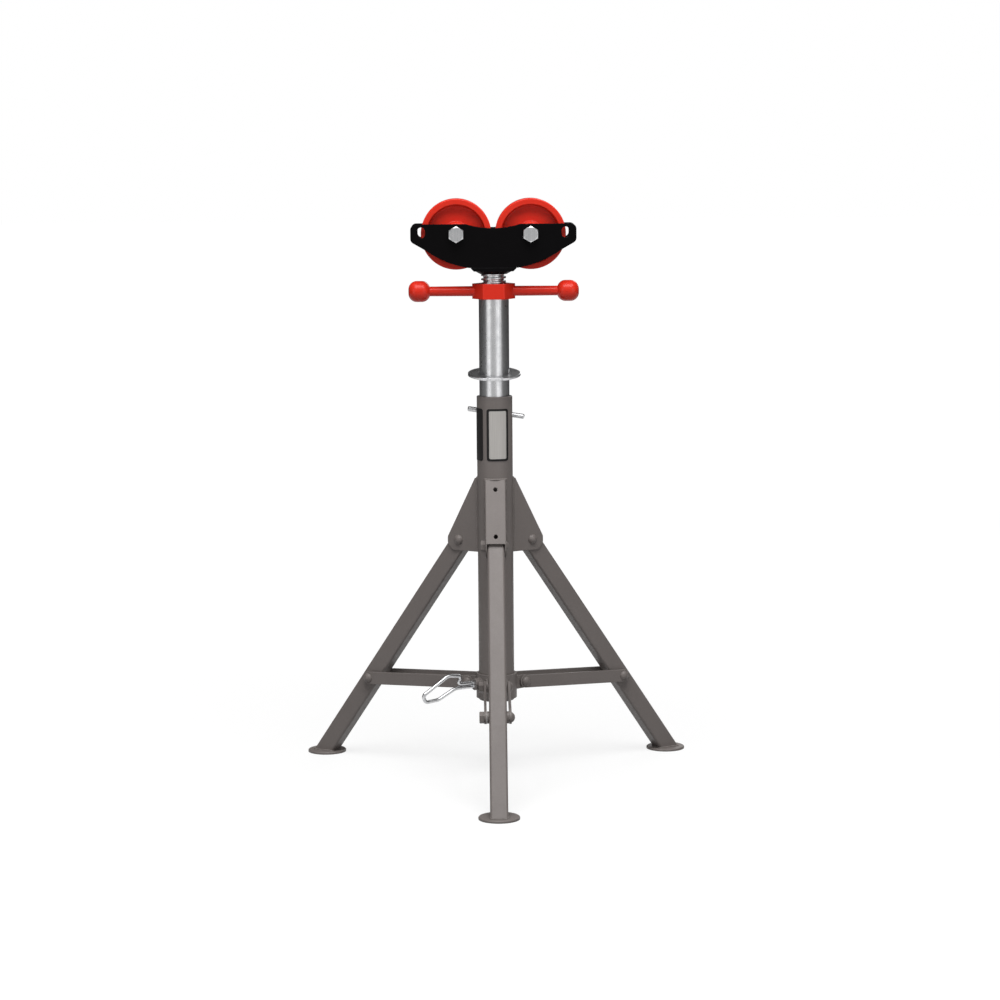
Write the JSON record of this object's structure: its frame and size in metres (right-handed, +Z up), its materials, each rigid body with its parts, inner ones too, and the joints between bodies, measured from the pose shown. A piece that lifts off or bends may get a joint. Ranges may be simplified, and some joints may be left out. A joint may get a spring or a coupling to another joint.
{
  "type": "pipe jack stand",
  "caption": "Folding pipe stand: round mast on hinged legs, telescopic tube, lifting screw with handled nut and a head with pipe rollers.",
  "frame": {"origin": "on the floor, on the mast axis", "axes": "+Z up along the mast, -Y towards the front leg, +X to the right seen from the front"},
  "size_m": [0.668, 0.5875, 0.9789],
  "materials": {
    "grey_powder_coat": "grey powder coat, satin",
    "zinc_plate": "bright zinc plate",
    "black_powder_coat": "black powder coat, semi-matt",
    "red_enamel": "red gloss enamel on cast iron",
    "bronze": "plain bearing bronze",
    "label_plate": "bare label plate with a dark border",
    "label_film": "plain dark film"
  },
  "bodies": {
    "mast": {"mast_tube": "grey_powder_coat", "front_leg_bracket": "grey_powder_coat", "left_leg_bracket": "grey_powder_coat", "right_leg_bracket": "grey_powder_coat", "leg_pivot_bolts": "grey_powder_coat", "leg_pivot_nuts": "grey_powder_coat", "clamp_boss": "grey_powder_coat", "front_label_plate": "label_plate", "side_label_plate": "label_film"},
    "collar": {"collar_sleeve": "grey_powder_coat", "front_collar_lugs": "grey_powder_coat", "left_collar_lugs": "grey_powder_coat", "right_collar_lugs": "grey_powder_coat", "collar_hinge_bolts": "grey_powder_coat", "collar_hinge_nuts": "grey_powder_coat", "lock_pin_boss": "grey_powder_coat"},
    "lock_pin": {"lock_pin": "zinc_plate", "lock_pin_loop": "zinc_plate"},
    "telescopic_tube": {"inner_tube": "zinc_plate"},
    "stop_ring": {"stop_ring": "zinc_plate"},
    "handle_nut": {"handle_nut": "red_enamel"},
    "head": {"lift_screw": "zinc_plate", "head_neck": "black_powder_coat", "head_base_plate": "black_powder_coat", "front_head_plate": "black_powder_coat", "back_head_plate": "black_powder_coat", "axle_bolts": "zinc_plate", "axle_nuts": "zinc_plate", "roller_washers": "zinc_plate"},
    "left_roller": {"left_roller": "red_enamel", "left_roller_bush": "bronze"},
    "right_roller": {"right_roller": "red_enamel", "right_roller_bush": "bronze"},
    "clamp_screw": {"clamp_screw": "zinc_plate"},
    "clamp_handle": {"clamp_head": "zinc_plate"},
    "clamp_bar": {"clamp_bar": "zinc_plate"},
    "front_leg": {"front_leg_tube": "grey_powder_coat", "front_foot": "grey_powder_coat", "front_leg_sleeve": "grey_powder_coat", "front_brace_pin": "grey_powder_coat"},
    "front_brace": {"front_brace_bar_a": "grey_powder_coat", "front_brace_bar_b": "grey_powder_coat", "front_brace_bolt_ends": "grey_powder_coat"},
    "left_leg": {"left_leg_tube": "grey_powder_coat", "left_foot": "grey_powder_coat", "left_leg_sleeve": "grey_powder_coat", "left_brace_pin": "grey_powder_coat"},
    "left_brace": {"left_brace_bar_a": "grey_powder_coat", "left_brace_bar_b": "grey_powder_coat", "left_brace_bolt_ends": "grey_powder_coat"},
    "right_leg": {"right_leg_tube": "grey_powder_coat", "right_foot": "grey_powder_coat", "right_leg_sleeve": "grey_powder_coat", "right_brace_pin": "grey_powder_coat"},
    "right_brace": {"right_brace_bar_a": "grey_powder_coat", "right_brace_bar_b": "grey_powder_coat", "right_brace_bolt_ends": "grey_powder_coat"}
  },
  "joints": [
    {"name": "collar_slide", "type": "slide", "parent": "mast", "child": "collar", "axis": [0, 0, 1], "range_m": [0, 0.12728]},
    {"name": "lock_pin_pull", "type": "slide", "parent": "collar", "child": "lock_pin", "axis": [-0.866, -0.5, 0], "range_m": [0, 0.012]},
    {"name": "tube_extend", "type": "slide", "parent": "mast", "child": "telescopic_tube", "axis": [0, 0, 1], "range_m": [-0.027, 0.35]},
    {"name": "ring_slide", "type": "slide", "parent": "telescopic_tube", "child": "stop_ring", "axis": [0, 0, 1], "range_m": [0, 0.1]},
    {"name": "nut_turn", "type": "hinge", "parent": "telescopic_tube", "child": "handle_nut", "pos_m": [0, 0, 0.82375], "axis": [0, 0, 1], "range_deg": [-5400, 540]},
    {"name": "screw_lift", "type": "slide", "parent": "telescopic_tube", "child": "head", "axis": [0, 0, 1], "range_m": [-0.0106, 0.1051]},
    {"name": "left_roller_spin", "type": "hinge", "parent": "head", "child": "left_roller", "pos_m": [-0.0623, 0, 0.91996], "axis": [0, 1, 0], "continuous": true},
    {"name": "right_roller_spin", "type": "hinge", "parent": "head", "child": "right_roller", "pos_m": [0.0623, 0, 0.91996], "axis": [0, 1, 0], "continuous": true},
    {"name": "clamp_feed", "type": "slide", "parent": "mast", "child": "clamp_screw", "axis": [0, 1, 0], "range_m": [0, 0.00351]},
    {"name": "clamp_turn", "type": "hinge", "parent": "clamp_screw", "child": "clamp_handle", "pos_m": [0, 0.06915, 0.612], "axis": [0, 1, 0], "range_deg": [0, 720]},
    {"name": "clamp_bar_slide", "type": "slide", "parent": "clamp_handle", "child": "clamp_bar", "axis": [0.989, 0, -0.1478], "range_m": [-0.03, 0.028]},
    {"name": "front_leg_fold", "type": "hinge", "parent": "mast", "child": "front_leg", "pos_m": [0, -0.063, 0.399], "axis": [1, 0, 0], "range_deg": [0, 31.24]},
    {"name": "front_brace_fold", "type": "hinge", "parent": "collar", "child": "front_brace", "pos_m": [0, -0.046, 0.155], "axis": [1, 0, 0], "range_deg": [0, 74.96]},
    {"name": "left_leg_fold", "type": "hinge", "parent": "mast", "child": "left_leg", "pos_m": [-0.05456, 0.0315, 0.399], "axis": [-0.5, -0.866, 0], "range_deg": [0, 31.24]},
    {"name": "left_brace_fold", "type": "hinge", "parent": "collar", "child": "left_brace", "pos_m": [-0.03984, 0.023, 0.155], "axis": [-0.5, -0.866, 0], "range_deg": [0, 74.96]},
    {"name": "right_leg_fold", "type": "hinge", "parent": "mast", "child": "right_leg", "pos_m": [0.05456, 0.0315, 0.399], "axis": [-0.5, 0.866, 0], "range_deg": [0, 31.24]},
    {"name": "right_brace_fold", "type": "hinge", "parent": "collar", "child": "right_brace", "pos_m": [0.03984, 0.023, 0.155], "axis": [-0.5, 0.866, 0], "range_deg": [0, 74.96]}
  ],
  "couplings": [
    {"joint": "screw_lift", "follows": "nut_turn", "m_per_rad": -0.0011141},
    {"joint": "clamp_feed", "follows": "clamp_turn", "m_per_rad": 0.00027852},
    {"joint": "front_leg_fold", "follows": "collar_slide", "rad_per_m": 4.2805},
    {"joint": "front_brace_fold", "follows": "collar_slide", "rad_per_m": 10.276},
    {"joint": "left_leg_fold", "follows": "collar_slide", "rad_per_m": 4.2805},
    {"joint": "left_brace_fold", "follows": "collar_slide", "rad_per_m": 10.276},
    {"joint": "right_leg_fold", "follows": "collar_slide", "rad_per_m": 4.2805},
    {"joint": "right_brace_fold", "follows": "collar_slide", "rad_per_m": 10.276}
  ]
}
